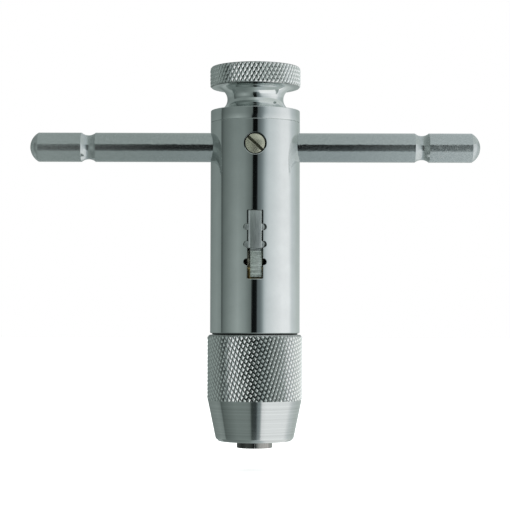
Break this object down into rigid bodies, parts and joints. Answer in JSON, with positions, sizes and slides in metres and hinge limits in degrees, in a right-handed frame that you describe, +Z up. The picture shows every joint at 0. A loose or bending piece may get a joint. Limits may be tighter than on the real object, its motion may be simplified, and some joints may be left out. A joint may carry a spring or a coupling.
{
  "type": "tap wrench",
  "caption": "T-handle ratchet tap wrench: sliding cross bar, thumb-set ratchet and a knurled screw chuck whose jaws grip the square end of a hand tap.",
  "frame": {"origin": "on the tool axis, at the tips of the closed jaws", "axes": "+Z up the tool axis towards the knurled head, X along the cross bar, -Y out of the front with the thumb slider"},
  "size_m": [0.1, 0.021, 0.0842],
  "materials": {
    "chrome_body": "polished chrome plate",
    "satin_nickel": "satin nickel plate, turned and knurled",
    "satin_bar": "fine-grained satin plate",
    "slider_steel": "lengthwise ground steel",
    "nickel_brass": "worn nickel over brass",
    "brass_bush": "turned",
    "bright_steel": "turned, lightly oiled",
    "dark_steel": "hardened, dark",
    "spring_steel": "drawn wire"
  },
  "bodies": {
    "housing": {"body_sleeve": "chrome_body", "head_knob": "satin_nickel", "detent_screw": "nickel_brass", "detent_spring": "spring_steel", "detent_ball": "bright_steel", "spindle_bush": "brass_bush", "thrust_washer": "dark_steel"},
    "handle": {"cross_bar": "satin_bar"},
    "selector": {"selector_slider": "slider_steel", "pawl_spring": "spring_steel"},
    "pawl": {"pawl": "dark_steel"},
    "spindle": {"spindle": "bright_steel", "wheel_spacer": "bright_steel", "ratchet_wheel": "dark_steel", "wheel_key": "bright_steel", "wheel_washer": "bright_steel", "retaining_ring": "spring_steel", "jaw_spring": "spring_steel"},
    "cone_ring": {"cone_ring": "dark_steel"},
    "chuck_nut": {"chuck_nut": "satin_nickel"},
    "jaw_left": {"jaw_left": "dark_steel"},
    "jaw_right": {"jaw_right": "dark_steel"}
  },
  "joints": [
    {"name": "bar_slide", "type": "slide", "parent": "housing", "child": "handle", "axis": [1, 0, 0], "range_m": [-0.037, 0.037]},
    {"name": "selector_slide", "type": "slide", "parent": "housing", "child": "selector", "axis": [0, 0, -1], "range_m": [0, 0.0038]},
    {"name": "pawl_press", "type": "slide", "parent": "selector", "child": "pawl", "axis": [0, -1, 0], "range_m": [0, 0.0008], "stiffness_N_per_m": 400, "springref_m": -0.002, "deforming": ["pawl_spring"]},
    {"name": "spindle_turn", "type": "hinge", "parent": "housing", "child": "spindle", "pos_m": [0, 0, 0.03], "axis": [0, 0, 1], "continuous": true},
    {"name": "nut_advance", "type": "slide", "parent": "spindle", "child": "cone_ring", "axis": [0, 0, -1], "range_m": [0, 0.0063]},
    {"name": "nut_turn", "type": "hinge", "parent": "cone_ring", "child": "chuck_nut", "pos_m": [0, 0, 0.012], "axis": [0, 0, -1], "range_deg": [0, 1513]},
    {"name": "jaw_left_slide", "type": "slide", "parent": "spindle", "child": "jaw_left", "axis": [-1, 0, 0], "range_m": [0, 0.0023]},
    {"name": "jaw_right_slide", "type": "slide", "parent": "spindle", "child": "jaw_right", "axis": [1, 0, 0], "range_m": [0, 0.0023], "deforming": ["jaw_spring"]}
  ],
  "couplings": [
    {"joint": "nut_turn", "follows": "nut_advance", "rad_per_m": 4188.8},
    {"joint": "jaw_left_slide", "follows": "nut_advance", "ratio": 0.36397},
    {"joint": "jaw_right_slide", "follows": "nut_advance", "ratio": 0.36397}
  ]
}
